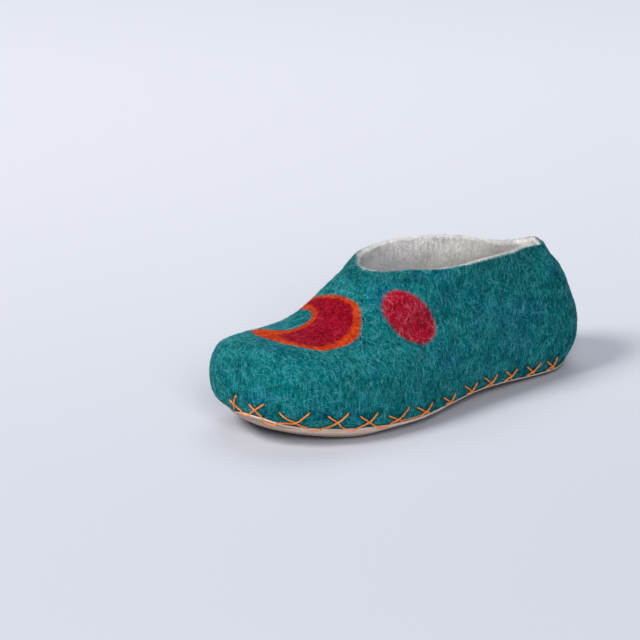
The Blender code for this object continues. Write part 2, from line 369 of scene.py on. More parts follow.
def through(knots, values, at):
    """A smooth curve through values at knots, level at both ends."""
    slopes = np.concatenate([[0], (values[2:] - values[:-2]) / (knots[2:] - knots[:-2]), [0]])
    cell = np.clip(np.searchsorted(knots, at, side="right") - 1, 0, len(knots) - 2)
    width = knots[cell + 1] - knots[cell]
    t = (at - knots[cell]) / width
    return hermite(t, values[cell], values[cell + 1], slopes[cell] * width, slopes[cell + 1] * width)


def spline_rows(rows, steps):
    """The rows with steps - 1 more between each two, on a natural cubic spline down each column."""
    count = len(rows)
    left, right = np.eye(count), np.zeros((count, count))
    for i in range(1, count - 1):
        left[i, i - 1 : i + 2] = 1, 4, 1
        right[i, i - 1 : i + 2] = 6, -12, 6
    curvature = np.linalg.solve(left, right @ rows)
    made = []
    for i in range(count - 1):
        for step in range(steps):
            b = step / steps
            a = 1 - b
            bend = (a**3 - a) * curvature[i] + (b**3 - b) * curvature[i + 1]
            made.append(a * rows[i] + b * rows[i + 1] + bend / 6)
    return np.array(made + [rows[-1]])


def section_table():
    along, across = LENGTH / 100, BALL_WIDTH / 100
    back, front = HEEL_HEIGHT / 100, INSTEP_HEIGHT / 100
    scale = [along] * 2 + [across] * 3 + [1.0] * 3 + [back] * 3 + [front] * 2 + [back]
    return np.array(list(SECTIONS.values())) * np.array(scale)


def side_of_ring(section, outer, inset=0.0):
    """(across, along, up) of one side of a ring, heel to toe. outer is 1 on the outer side and -1 inside."""
    s = dict(zip(COLUMNS, section))
    heel, toe = s["heel"] + inset, s["toe"] - inset
    heel_half, waist_half, ball_half = (s[k] - inset for k in ("heel_half", "waist_half", "ball_half"))
    heel_cap = heel_half * HEEL_CAP
    toe_cap = ball_half * s["toe_cap"] * (1 + OUTER_TAPER * outer)
    heel_end, toe_start = heel + heel_cap, toe - toe_cap
    waist = heel_end + WAIST_SHARE * (toe_start - heel_end)

    u = np.linspace(0, 1, SIDE_POINTS + 1)
    heel_turn = np.clip(u / HEEL_SHARE, 0, 1) * np.pi / 2
    toe_turn = np.clip((1 - u) / (1 - TOE_SHARE), 0, 1) * np.pi / 2
    middle = np.clip((u - HEEL_SHARE) / (TOE_SHARE - HEEL_SHARE), 0, 1)
    along = heel_end + middle * (toe_start - heel_end)
    half = through(
        np.array([heel_end, waist, toe_start]), np.array([heel_half, waist_half, ball_half]), along
    )
    heel_round, toe_round = 2 / s["heel_power"], 2 / s["toe_power"]
    along = along - heel_cap * np.cos(heel_turn) ** heel_round + toe_cap * np.cos(toe_turn) ** toe_round
    half = half * np.sin(heel_turn) ** heel_round * np.sin(toe_turn) ** toe_round

    stations = np.array([0, HEEL_SHARE, HEEL_SHARE + WAIST_SHARE * (TOE_SHARE - HEEL_SHARE), TOE_SHARE, 1])
    heights = np.array([s[k] for k in ("heel_z", "quarter_z", "waist_z", "ball_z", "toe_z")])
    heights[1] += outer * s["lean"]
    up = through(stations, heights, u)
    swing = np.clip((along / LENGTH - SWING_START) / (1 - SWING_START), 0, None)
    return np.stack([outer * half - TOE_SWING * swing**2, along, up], axis=1)


def ring(section, inset=0.0):
    """A closed ring: up the outer side from the heel to the toe, and back down the inner side."""
    outer = side_of_ring(section, 1, inset)
    inner = side_of_ring(section, -1, inset)
    return np.concatenate([outer, inner[-2:0:-1]])


def underside(along):
    share = along / LENGTH
    arch = np.clip((share - HEEL_FLAT[1]) / (BALL_FLAT[0] - HEEL_FLAT[1]), 0, 1)
    spring = np.clip((share - BALL_FLAT[1]) / (TOE_SPRING_END - BALL_FLAT[1]), 0, None)
    return ARCH_LIFT * np.sin(np.pi * arch) ** 2 + TOE_SPRING * spring**TOE_SPRING_POWER


def bottom_ring(inset):
    """A ring of the felt's underside, this far in from the seam."""
    points = ring(section_table()[0], inset)
    resting = underside(points[:, 1]) + LEATHER + SEATING_GAP
    cup = np.clip((points[:, 1] / LENGTH - CUP_START) / (CUP_FULL - CUP_START), 0, 1)
    cup = cup**2 * (3 - 2 * cup)
    across_edge = np.minimum(inset / (EDGE_WIDTH + cup * (CUP_WIDTH - EDGE_WIDTH)), 1)
    drop = cup * np.sqrt(1 - (1 - across_edge) ** 2) + (1 - cup) * across_edge
    points[:, 2] += (resting - points[:, 2]) * drop
    return points


def skin_loops():
    """The felt's outer skin in the slipper's frame, as loops from under the foot to the collar."""
    girth = ring(section_table()[2])
    middle = (girth[:, 0].max() + girth[:, 0].min()) / 2
    loops = [bottom_ring(inset) for inset in UNDERSIDE_INSETS]
    loops += [ring(section) for section in spline_rows(section_table(), RINGS_PER_SECTION)]
    loops = np.array(loops)
    return np.stack([loops[..., 0] - middle, LENGTH / 2 - loops[..., 1], loops[..., 2]], axis=-1)


UNDERSIDE = len(UNDERSIDE_INSETS)
AROUND = 2 * SIDE_POINTS
SIDE_RINGS = 7 * RINGS_PER_SECTION + 1
LEVELS = np.concatenate([-np.array(UNDERSIDE_INSETS), np.arange(SIDE_RINGS) / RINGS_PER_SECTION])
OUTER_LOOPS = len(LEVELS)
SIDE_U = np.concatenate([np.arange(SIDE_POINTS + 1), np.arange(SIDE_POINTS - 1, 0, -1)]) / SIDE_POINTS
SIDE = np.where(np.arange(AROUND) <= SIDE_POINTS, 1, -1)


def unit(vectors):
    return vectors / np.maximum(np.linalg.norm(vectors, axis=-1, keepdims=True), 1e-9)


def outward(loops):
    """Normals of loops that run up the outer surface."""
    round_ = np.roll(loops, -1, axis=1) - np.roll(loops, 1, axis=1)
    return unit(np.cross(np.gradient(loops, axis=0), round_))


def smoothed(values, rounds):
    """Values evened out along the loops and across them."""
    for _ in range(rounds):
        padded = np.concatenate([values[:1], values, values[-1:]])
        up_down = (padded[:-2] + padded[2:]) / 2
        values = (2 * values + up_down + (np.roll(values, 1, 1) + np.roll(values, -1, 1)) / 2) / 4
    return values


def smoothstep(low, high, value):
    t = np.clip((value - low) / (high - low), 0, 1)
    return t * t * (3 - 2 * t)


def field(points, size, offset=0.0):
    """Smooth noise from about -1 to 1 at the points, with features of that size."""
    flat = points.reshape(-1, 3) / size + offset
    return np.array([noise.noise(p) for p in flat.tolist()]).reshape(points.shape[:-1])


def lumps(points, layers, offset=0.0):
    total = np.zeros(points.shape[:-1])
    for layer, (size, height) in enumerate(layers):
        total += height * field(points, size, offset + 7.3 * layer)
    return total


def creases(points):
    total = np.zeros(points.shape[:-1])
    for x, y, z, dx, dy, dz, half_length, half_width, height in CREASES:
        away = points - np.array([x, y, z])
        direction = unit(np.array([dx, dy, dz]))
        along = away @ direction
        across2 = (away**2).sum(-1) - along**2
        total += height * np.exp(-((along / half_length) ** 2) - across2 / half_width**2)
    return total


def lowered_rim(loops, drop):
    """The loops with the last section's drawn together, so that the last lies that far below the edge."""
    first = len(loops) - 1 - RINGS_PER_SECTION
    top = loops[first:]
    steps = np.linalg.norm(np.diff(top, axis=0), axis=-1)
    length = np.concatenate([np.zeros((1, AROUND)), np.cumsum(steps, axis=0)])
    wanted = np.linspace(0, 1, len(top))[:, None] * (length[-1] - drop)
    moved = loops.copy()
    for j in range(AROUND):
        for axis in range(3):
            moved[first:, j, axis] = np.interp(wanted[:, j], length[:, j], top[:, j, axis])
    return moved


# Closed shells


def band_quads(index):
    """Faces between rows of closed loops, from the point numbers of each row."""
    beside = np.roll(index, -1, axis=1)
    return np.stack([index[:-1], index[1:], beside[1:], beside[:-1]], axis=-1).reshape(-1, 4).tolist()


def add_mesh(name, points, faces, attributes, material):
    """A piece of the slipper from points in millimetres, riding on its one body."""
    mesh = bpy.data.meshes.new(name)
    mesh.from_pydata((np.asarray(points) * MM).tolist(), [], faces)
    for label, values in attributes.items():
        layer = mesh.attributes.new(label, "FLOAT", "POINT")
        layer.data.foreach_set("value", np.asarray(values, dtype=np.float32))
    mesh.materials.append(material)
    mesh.shade_smooth()
    piece = bpy.data.objects.new(name, mesh)
    bpy.context.scene.collection.objects.link(piece)
    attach(piece, "root")
    return piece


def cap(loop, indices, first_new, upwards):
    """Points and faces that close a loop across, in columns from the outer side to the inner."""
    half = len(loop) // 2
    share = np.arange(1, CAP_COLUMNS) / CAP_COLUMNS
    left, right = loop[1:half], loop[:half:-1]
    points = left[:, None] + (right - left)[:, None] * share[None, :, None]
    new = first_new + np.arange((half - 1) * (CAP_COLUMNS - 1)).reshape(half - 1, -1)
    grid = np.concatenate([indices[1:half, None], new, indices[:half:-1, None]], axis=1)
    quads = np.stack([grid[:-1, :-1], grid[:-1, 1:], grid[1:, 1:], grid[1:, :-1]], axis=-1).reshape(-1, 4)
    faces = quads.tolist()
    for k in range(CAP_COLUMNS):
        faces.append([int(indices[0]), int(grid[0, k + 1]), int(grid[0, k])])
        faces.append([int(indices[half]), int(grid[-1, k]), int(grid[-1, k + 1])])
    if not upwards:
        faces = [face[::-1] for face in faces]
    return points.reshape(-1, loop.shape[1]), faces


def shell(name, loops, attributes, material):
    """A closed shell through loops that start under the foot, go out and over the edge, and come back."""
    channels = np.concatenate([loops] + [values[..., None] for values in attributes.values()], axis=-1)
    index = np.arange(loops.shape[0] * loops.shape[1]).reshape(loops.shape[:2])
    flat = channels.reshape(-1, channels.shape[-1])
    lower_points, lower_faces = cap(channels[0], index[0], len(flat), upwards=False)
    upper_points, upper_faces = cap(channels[-1], index[-1], len(flat) + len(lower_points), upwards=True)
    flat = np.concatenate([flat, lower_points, upper_points])
    faces = band_quads(index) + lower_faces + upper_faces
    named = {label: flat[:, 3 + k] for k, label in enumerate(attributes)}
    return add_mesh(name, flat[:, :3], faces, named, material)


def turned_edge(side_a, side_b, up, height, steps):
    """Loops that round over from edge loop side_a to side_b, standing height above them along up."""
    middle, reach = (side_a + side_b) / 2, (side_a - side_b) / 2
    angles = np.linspace(0, np.pi, steps + 2)[1:-1]
    return np.array([middle + reach * np.cos(a) + up * height * np.sin(a) for a in angles])


# Wool fibres and thread


def bristles(paths, normals, widths, heights):
    """Closed three-sided slivers along paths on a surface, pointed at both ends."""
    count, steps, _ = paths.shape
    along = unit(np.gradient(paths, axis=1))
    across = unit(np.cross(along, normals))
    swell = np.sin(np.pi * np.arange(steps) / (steps - 1))[None, 1:-1, None] ** 0.7
    half = widths[:, None, None] * 0.5 * swell
    core, side = paths[:, 1:-1], across[:, 1:-1] * half
    out = normals[:, 1:-1] * (heights[:, None, None] * swell)
    corners = np.stack([core + side - out * 0.3, core + out, core - side - out * 0.3], axis=2)
    points = np.concatenate([corners.reshape(count, -1, 3), paths[:, :1], paths[:, -1:]], axis=1)
    rings, tips = steps - 2, 3 * (steps - 2)
    sides = ((0, 1), (1, 2), (2, 0))
    quads = [
        (3 * k + a, 3 * k + 3 + a, 3 * k + 3 + b, 3 * k + b) for a, b in sides for k in range(rings - 1)
    ]
    last = 3 * (rings - 1)
    ends = [(tips, a, b) for a, b in sides] + [(tips + 1, last + b, last + a) for a, b in sides]
    first = (np.arange(count) * points.shape[1])[:, None, None]
    faces = (np.array(quads) + first).reshape(-1, 4).tolist()
    return points, faces + (np.array(ends) + first).reshape(-1, 3).tolist()


def tangent(direction, normal):
    return unit(direction - (direction * normal).sum(-1, keepdims=True) * normal)


def flow_at(points):
    """The way the wool runs at each point, with the share that the table gives following it."""
    places = np.array([row[:3] for row in FLOW])
    ways = unit(np.array([row[3:6] for row in FLOW]))
    reach, follow = np.array([row[6] for row in FLOW]), np.array([row[7] for row in FLOW])
    weight = np.exp(-((points[:, None] - places[None]) ** 2).sum(-1) / reach**2) + 1e-6
    weight /= weight.sum(1, keepdims=True)
    return weight @ ways, weight @ follow


def read(items, label, width=1):
    """One property of every item, as an array."""
    values = np.empty(len(items) * width, np.float32)
    items.foreach_get(label, values)
    return values.reshape(-1, width) if width > 1 else values


class Surface:
    """A finished piece in millimetres, to lay fibres on."""

    def __init__(self, piece):
        mesh = piece.data
        points = read(mesh.vertices, "co", 3) / MM
        faces = [tuple(face.vertices) for face in mesh.polygons]
        self.tree = BVHTree.FromPolygons(points.tolist(), faces)
        self.first_corner = np.array([face[0] for face in faces])
        self.centres = read(mesh.polygons, "center", 3) / MM
        self.normals = read(mesh.polygons, "normal", 3)
        self.areas = read(mesh.polygons, "area")
        self.values = {
            layer.name: read(layer.data, "value")
            for layer in mesh.attributes
            if layer.data_type == "FLOAT" and layer.domain == "POINT"
        }

    def scatter(self, weight, count, rng):
        """Faces picked by area and weight, and points near their middles."""
        chance = self.areas * weight
        picked = rng.choice(len(self.areas), count, p=chance / chance.sum())
        jitter = tangent(rng.normal(size=(count, 3)), self.normals[picked]) * rng.uniform(0, 0.8, (count, 1))
        return picked, self.centres[picked] + jitter

    def walk(self, starts, headings, stride, bends, steps, lifts):
        """Paths that stay on the surface, their heading turned by bends a step. lifts is (count, steps)."""
        paths, normals = np.empty((len(starts), steps, 3)), np.empty((len(starts), steps, 3))
        under = np.zeros((len(starts), steps), int)
        for f, (start, heading) in enumerate(zip(starts, headings)):
            place, way = Vector(start), Vector(heading)
            for k in range(steps):
                found, normal, under[f, k], _ = self.tree.find_nearest(place)
                way = (way - normal * way.dot(normal)).normalized()
                paths[f, k], normals[f, k] = found, normal
                sideways = normal.cross(way)
                way = (way + sideways * bends[f, k]).normalized()
                place = found + way * stride[f]
        return paths + normals * lifts[..., None], normals, under


def motif_values(points):
    """How far each point lies inside each of the felted-in shapes."""
    return {
        "crescent": inside_by(points, CRESCENT_FACING, CRESCENT_OUTLINE),
        "crescent_core": inside_by(points, CRESCENT_FACING, CRESCENT_CORE),
        "spot": inside_by(points, SPOT_FACING, SPOT_OUTLINE),
    }


def add_fibres(
    surface, weight, material, name, slot, count, seed, length, width, height, tone, rise, follow, steps
):
    """Wool fibres on a piece: lying, or with rise above 0 with one end standing off by so much."""
    rng = np.random.default_rng(seed)
    faces, starts = surface.scatter(weight, count, rng)
    normals = surface.normals[faces]
    flow, share = flow_at(starts)
    stray = tangent(rng.normal(size=(count, 3)), normals)
    spread = rng.normal(size=(count, 3)) * 0.35
    following = rng.uniform(size=count) < share * follow
    headings = tangent(np.where(following[:, None], flow + spread, stray), normals)
    lengths = rng.uniform(*length, count)
    stride = (lengths / (steps - 1))[:, None]
    bends = (rng.normal(0, 0.12, (count, 1)) + rng.normal(0, 0.14, (count, steps))) * stride
    lifts = np.full((count, steps), 0.03)
    if rise:
        lifts = lifts + (np.linspace(0, 1, steps)[None] ** 1.5) * rng.uniform(0.3, 1.0, (count, 1)) * rise
    paths, path_normals, under = surface.walk(starts, headings, lengths / (steps - 1), bends, steps, lifts)
    widths, heights = rng.uniform(*width, count), rng.uniform(*height, count)
    points, made = bristles(paths, path_normals, widths, heights)
    face_at = np.concatenate([np.repeat(under[:, 1:-1], 3, axis=1), under[:, :1], under[:, -1:]], axis=1)
    corner = surface.first_corner[face_at]
    values = {label: v[corner].ravel() for label, v in surface.values.items()}
    if slot == "teal_felt":
        values.update({label: v.ravel() for label, v in motif_values(points).items()})
    values["tone"] = np.repeat(rng.uniform(*tone, count), points.shape[1])
    for label in sorted(set(values) - {"tone", "shade"}):
        values[label] = values[label] + np.repeat(rng.normal(0, STRAY, count), points.shape[1])
    piece = add_mesh(name, points.reshape(-1, 3), made, values, material)


def across_path(path):
    """Two directions square to a path and to each other, at each of its points."""
    along = unit(np.gradient(path, axis=0))
    side = unit(np.cross(along, np.array([0.13, 0.21, 1.0])))
    return side, np.cross(side, along)


def tube(path, radius, sides):
    """Points and faces of a closed round tube along a path."""
    side, out = across_path(path)
    angles = np.arange(sides) * 2 * np.pi / sides
    round_ = side[:, None] * np.cos(angles)[None, :, None] + out[:, None] * np.sin(angles)[None, :, None]
    index = np.arange(len(path) * sides).reshape(len(path), sides)
    faces = band_quads(index) + [index[0].tolist(), index[-1][::-1].tolist()]
    return (path[:, None] + radius * round_).reshape(-1, 3), faces


class Rails:
    """Lines on the felt that start at the seam and run square to it, to place the sewing by."""

    LOWEST, HIGHEST, STEP = -4.0, 25.0, 0.5

    def __init__(self, loops):
        index = np.arange(loops.shape[0] * AROUND).reshape(-1, AROUND)
        tree = BVHTree.FromPolygons(loops.reshape(-1, 3).tolist(), band_quads(index))
        seam, normals = loops[UNDERSIDE], outward(loops)[UNDERSIDE]
        tangents = unit(np.roll(seam, -1, 0) - np.roll(seam, 1, 0))
        arc = np.concatenate([[0], np.cumsum(np.linalg.norm(np.roll(seam, -1, 0) - seam, axis=1))])
        self.around = arc[-1]
        self.stations = arc[SIDE_POINTS] - arc
        self.heights = np.arange(self.LOWEST, self.HIGHEST + self.STEP / 2, self.STEP)
        self.places = np.empty((AROUND, len(self.heights), 3))
        self.normals = np.empty_like(self.places)
        middle = int(round(-self.LOWEST / self.STEP))
        for j in range(AROUND):
            square = Vector(np.cross(tangents[j], normals[j]))
            square = -square if square.z < 0 else square
            upwards, downwards = range(middle, len(self.heights)), range(middle - 1, -1, -1)
            for way, steps in ((square, upwards), (-square, downwards)):
                place = Vector(seam[j])
                if steps.step < 0:
                    place = place + way * self.STEP
                for k in steps:
                    found, normal, _, _ = tree.find_nearest(place)
                    self.places[j, k], self.normals[j, k] = found, normal
                    way = (way - normal * way.dot(normal)).normalized()
                    place = found + way * self.STEP

    def column(self, station):
        low = self.stations[-1]
        station = low + (station - low) % self.around
        return np.interp(-station, -self.stations, np.arange(AROUND + 1))

    def at(self, station, height):
        """(place, outward normal) there."""
        column, row = self.column(station), (height - self.LOWEST) / self.STEP
        j, k = int(column), int(np.clip(row, 0, len(self.heights) - 2))
        found = []
        for grid in (self.places, self.normals):
            corners = [grid[(j + a) % AROUND, k + b] for a in (0, 1) for b in (0, 1)]
            near = (1 - column + j) * corners[0] + (column - j) * corners[2]
            far = (1 - column + j) * corners[1] + (column - j) * corners[3]
            found.append((1 - row + k) * near + (row - k) * far)
        return found[0], unit(found[1])


def edge_height(station):
    return np.interp(station, EDGE_STATION, EDGE_HEIGHT)


def smooth_through(corners, count):
    """Points along a smooth open curve through the corners, at even steps of its parameter."""
    p = np.array(corners, float)
    p = np.concatenate([[2 * p[0] - p[1]], p, [2 * p[-1] - p[-2]]])
    t = np.linspace(0, len(p) - 3 - 1e-9, count)
    k = t.astype(int)
    t = (t - k)[:, None]
    a, b, c, d = p[k], p[k + 1], p[k + 2], p[k + 3]
    return hermite(t, b, c, (c - a) / 2, (d - b) / 2)


def stitch_holes():
    """(station, height) of each crossing's lower and upper hole."""
    lower = [(row[0] + row[2], row[3]) for row in STITCHES]
    return lower + [(row[0] + row[4], row[5]) for row in STITCHES]


def beside_stitches(loops, seam):
    """From 0 to 1, how near each point of the felt lies to the thread, for the painted shade beside it."""
    nearest = np.full(loops.shape[:2], 100.0)
    for crossing, height, low, low_height, up, up_height in STITCHES:
        for reach, top in ((low, low_height), (up, up_height)):
            for share in np.linspace(0, 1, 6):
                place = seam.at(crossing + reach * share, height + (top - height) * share)[0]
                nearest = np.minimum(nearest, ((loops - place) ** 2).sum(-1))
    return np.exp(-nearest / SHADE_RADIUS**2)


def thread_paths(seam):
    """The thread's middle line from each crossing's lower hole to the next one's upper hole."""
    first = (STITCHES[0][0] + seam.around, *STITCHES[0][1:])
    for this, beyond in zip(STITCHES, (*STITCHES[1:], first)):
        start, end = this[0], beyond[0]
        middle = (start + end) / 2
        hidden = smoothstep(*HIDING_FROM, min(abs(middle), abs(seam.around - middle)))
        if TIP_GAP[0] < middle < TIP_GAP[1]:
            hidden = 1.0
        dip = DIP + 0.6 * hidden + 0.98 * edge_height(middle)
        out = 0.27 * (end - start) * (1 - hidden) + 3.1 * hidden
        turns = []
        for station, crossing in ((start + out, this[1]), (end - out, beyond[1])):
            open_height = dip + 0.18 * (crossing - dip)
            tucked_height = max(1.0 + edge_height(station), crossing - 4.5)
            turns.append((station, open_height + (tucked_height - open_height) * hidden))
        corners = [
            (start + this[2] * 1.08, this[3] + 0.08 * (this[3] - this[1])),
            (start, this[1]),
            turns[0],
            (middle, dip),
            turns[1],
            (end, beyond[1]),
            (end + beyond[4] * 1.08, beyond[5] + 0.08 * (beyond[5] - beyond[1])),
        ]
        route = smooth_through(corners, PATH_POINTS)
        share = np.linspace(0, 1, PATH_POINTS)
        over = np.exp(-(((share - 0.84) / 0.06) ** 2)) * THREAD * 0.8
        into = np.clip(1 - share / 0.024, 0, 1) + np.clip((share - 0.976) / 0.024, 0, 1)
        into = into + hidden * smoothstep(0.30, 0.38, share) * smoothstep(0.70, 0.62, share)
        centre = []
        for (station, height), raised, sunk in zip(route, over, into):
            place, normal = seam.at(station, height)
            on_leather = smoothstep(1.6, -0.4, height - edge_height(station)) * (SEATING_GAP + LEATHER * 0.85)
            centre.append(place + normal * (THREAD * 0.40 + on_leather + raised - 2.2 * sunk))
        yield np.array(centre)


def make_thread(seam, material):
    """The thread of two plies that wind round each other."""
    points, faces = [], []
    for centre in thread_paths(seam):
        side, out = across_path(centre)
        length = np.concatenate([[0], np.cumsum(np.linalg.norm(np.diff(centre, axis=0), axis=1))])
        turn = 2 * np.pi * length / PLY_PITCH
        for ply in (0.0, np.pi):
            offset = side * np.cos(turn + ply)[:, None] + out * np.sin(turn + ply)[:, None]
            rings, made = tube(centre + offset * (THREAD / 2 - STRAND), STRAND, STRAND_SIDES)
            base = sum(len(p) for p in points)
            points.append(rings)
            faces += [[base + v for v in face] for face in made]
    piece = add_mesh("stitch_thread", np.concatenate(points), faces, {}, material)


def make_holes(seam, material):
    """The holes that the thread goes into, as low lens shapes on the felt, dark with painted shade for the
    holes' depth.
    """
    points, faces = [], []
    turns = np.arange(HOLE_SIDES) * 2 * np.pi / HOLE_SIDES
    for station, height in stitch_holes():
        place, normal = seam.at(station, height)
        side = unit(np.cross(normal, np.array([0.1, 0.2, 1.0])))
        out = np.cross(normal, side)
        round_ = np.cos(turns)[:, None] * side + np.sin(turns)[:, None] * out * 1.15
        rim = place + normal * 0.02 + HOLE_RADIUS * round_
        base = (HOLE_SIDES + 2) * len(points)
        points.append(np.concatenate([rim, [place + normal * 0.16, place - normal * 0.3]]))
        for k in range(HOLE_SIDES):
            after = (k + 1) % HOLE_SIDES
            faces.append([base + k, base + after, base + HOLE_SIDES])
            faces.append([base + after, base + k, base + HOLE_SIDES + 1])
    piece = add_mesh("stitch_holes", np.concatenate(points), faces, {}, material)


# Felted-in shapes


def closed_spline(corners, steps=16):
    """Points on a smooth closed curve through the corners."""
    p = np.array(corners)
    before, after, beyond = np.roll(p, 1, 0), np.roll(p, -1, 0), np.roll(p, -2, 0)
    t = (np.arange(steps) / steps)[None, :, None]
    start, end = p[:, None], after[:, None]
    start_slope, end_slope = ((after - before) / 2)[:, None], ((beyond - p) / 2)[:, None]
    return hermite(t, start, end, start_slope, end_slope).reshape(-1, 2)


def inside_by(points, place, corners):
    """How far each point lies inside the outline, in millimetres, and below 0 outside it."""
    right, up, back = facing(*place)
    flat = np.stack([points @ right, points @ up], axis=-1).reshape(-1, 2)
    curve = closed_spline(corners)
    low, high = curve.min(0) - 8, curve.max(0) + 8
    near = ((flat > low) & (flat < high)).all(1) & ((points @ back).reshape(-1) > 0)
    result = np.full(len(flat), FAR_OUTSIDE)
    at = flat[near]
    a, b = curve, np.roll(curve, -1, 0)
    edge = b - a
    away = at[:, None] - a[None]
    t = np.clip((away * edge).sum(-1) / (edge**2).sum(-1), 0, 1)
    distance = np.linalg.norm(away - t[..., None] * edge, axis=-1).min(1)
    crosses = (a[:, 1] > at[:, None, 1]) != (b[:, 1] > at[:, None, 1])
    with np.errstate(divide="ignore", invalid="ignore"):
        reach = a[:, 0] + (at[:, None, 1] - a[:, 1]) * edge[:, 0] / edge[:, 1]
    odd = (crosses & (at[:, None, 0] < reach)).sum(1) % 2 == 1
    result[near] = np.where(odd, distance, -distance)
    return result.reshape(points.shape[:-1])


# Materials


def node(tree, kind, inputs=None, **settings):
    made = tree.nodes.new(kind)
    for key, value in settings.items():
        setattr(made, key, value)
    for key, value in (inputs or {}).items():
        if isinstance(value, bpy.types.NodeSocket):
            tree.links.new(value, made.inputs[key])
        else:
            made.inputs[key].default_value = value
    return made


def blend_colour(tree, factor, first, second):
    made = node(tree, "ShaderNodeMix", {0: factor, 6: first, 7: second}, data_type="RGBA")
    return made.outputs[2]


def compute(tree, operation, *values):
    made = node(tree, "ShaderNodeMath", dict(enumerate(values)), operation=operation)
    return made.outputs[0]


def ease(tree, value, low, high, to_low=0.0, to_high=1.0):
    made = node(
        tree, "ShaderNodeMapRange", {0: value, 1: low, 2: high, 3: to_low, 4: to_high},
        interpolation_type="SMOOTHSTEP",
    )
    return made.outputs[0]


def grain(tree, size, detail=2.0, stretch=(1, 1, 1), turn=(0, 0, 0), shift=0.0, distortion=0.0):
    """Noise from 0 to 1 with features of that size in millimetres, stretched along the turned axes."""
    place = node(tree, "ShaderNodeTexCoord").outputs["Object"]
    scale = [1 / (size * MM * k) for k in stretch]
    turned = node(
        tree, "ShaderNodeMapping",
        {
            "Vector": place,
            "Location": (shift, shift, shift),
            "Rotation": tuple(np.radians(turn)),
            "Scale": scale,
        },
    )
    made = node(
        tree, "ShaderNodeTexNoise",
        {
            "Vector": turned.outputs[0],
            "Scale": 1.0,
            "Detail": detail,
            "Roughness": 0.55,
            "Distortion": distortion,
        },
    )
    return made.outputs["Fac"]


def strands(tree, size, width, shift, stretch=(1, 1, 1), turn=(0, 0, 0)):
    """Thin winding lines, as single wool fibres lie, from 0 to 1."""
    value = grain(tree, size, 1.5, stretch, turn, shift, distortion=0.6)
    away = compute(tree, "ABSOLUTE", compute(tree, "SUBTRACT", value, 0.5))
    return ease(tree, away, 0.0, width, 1.0, 0.0)


def attribute(tree, label):
    return node(tree, "ShaderNodeAttribute", attribute_name=label).outputs["Fac"]


def new_material(name, values):
    """A material, its tree and its shader, with constant values on the shader's sockets."""
    material = bpy.data.materials.new(name)
    material.use_nodes = True
    shader = material.node_tree.nodes["Principled BSDF"]
    for label, value in values.items():
        shader.inputs[label].default_value = value
    return material, material.node_tree, shader


def finish_material(tree, shader, colour, relief=None, strength=0.0, depth=0.0):
    """Link the colour, and the relief as bump that deep in millimetres."""
    tree.links.new(colour, shader.inputs["Base Color"])
    if relief is not None:
        bump = node(tree, "ShaderNodeBump", {"Strength": strength, "Distance": depth * MM, "Height": relief})
        tree.links.new(bump.outputs[0], shader.inputs["Normal"])


def dye(dark, light, pale):
    return (*dark, 1.0), (*light, 1.0), (*pale, 1.0)


TEAL = dye((0.0002, 0.040, 0.045), (0.003, 0.232, 0.236), (0.110, 0.400, 0.420))
TEAL_BLUE = dye((0.0002, 0.031, 0.052), (0.003, 0.184, 0.255), (0.100, 0.350, 0.425))
CRIMSON = dye((0.112, 0.0002, 0.004), (0.400, 0.001, 0.018), (0.485, 0.045, 0.080))
ROSE = dye((0.165, 0.0002, 0.006), (0.515, 0.008, 0.033), (0.640, 0.165, 0.205))
ORANGE = dye((0.320, 0.007, 0.002), (0.660, 0.060, 0.004), (0.780, 0.130, 0.030))
UNDYED = dye((0.570, 0.550, 0.550), (0.960, 0.915, 0.855), (0.985, 0.965, 0.930))
WOOL_SURFACE = {"Roughness": 0.95, "Specular IOR Level": 0.03}

# The leather's dark and light: its face, its cut edge, and the painted shade where it turns under
LEATHER_FACE = (0.430, 0.300, 0.235, 1.0), (0.650, 0.500, 0.415, 1.0)
LEATHER_CUT = (0.500, 0.375, 0.305, 1.0), (0.720, 0.590, 0.500, 1.0)
LEATHER_TURNED_UNDER_SHADE = (0.050, 0.032, 0.025, 1.0), (0.165, 0.112, 0.088, 1.0)
THREAD_SHADES = (0.860, 0.135, 0.003, 1.0), (0.940, 0.290, 0.012, 1.0)
# Painted shade: the dark of the holes' mouths
HOLE_PAINTED_SHADE = (0.002, 0.018, 0.020, 1.0), (0.010, 0.055, 0.060, 1.0)
# The floor's colour near the camera and, painted lighter as painted light, far off
FLOOR_NEAR_AND_FAR_PAINTED = (0.545, 0.556, 0.618, 1.0), (0.875, 0.874, 0.905, 1.0)


def wool_tone(tree):
    """The light and dark of felted wool from 0 to 1, and a finer part of it for bump."""
    cloudy = grain(tree, 9.0, 3.0)
    mottle = grain(tree, 3.2, 3.0, shift=3.1)
    fine = grain(tree, 0.8, 3.0, shift=9.7)
    upright = grain(tree, 1.3, 3.0, stretch=(1, 1, 8), shift=5.0)
    slanting = grain(tree, 1.3, 3.0, stretch=(1, 1, 7), turn=(38, 0, 0), shift=6.0)
    streaks = compute(tree, "MULTIPLY", compute(tree, "ADD", upright, slanting), 0.5)
    lines = compute(tree, "MAXIMUM", strands(tree, 3.4, 0.040, 1.0), strands(tree, 5.2, 0.026, 2.0))
    lines = compute(tree, "MAXIMUM", lines, strands(tree, 2.6, 0.050, 4.0, (1, 1, 4), (12, 0, 0)))
    tone = -0.24
    layers = (
        (mottle, 0.32, 0.68, 0.26),
        (streaks, 0.37, 0.63, 0.44),
        (fine, 0.32, 0.68, 0.16),
        (cloudy, 0.3, 0.7, 0.30),
    )
    for layer, low, high, share in layers:
        tone = compute(tree, "MULTIPLY_ADD", ease(tree, layer, low, high), share, tone)
    tone = compute(tree, "MULTIPLY_ADD", lines, 0.42, tone)
    relief = compute(tree, "MULTIPLY_ADD", lines, 0.45, compute(tree, "ADD", fine, mottle))
    return tone, relief


def dyed(tree, tone, shades):
    """A dye's dark to light by tone, and its pale single fibres where the tone goes beyond 1."""
    dark, light, pale = shades
    return blend_colour(tree, ease(tree, tone, 0.85, 1.5), blend_colour(tree, tone, dark, light), pale)


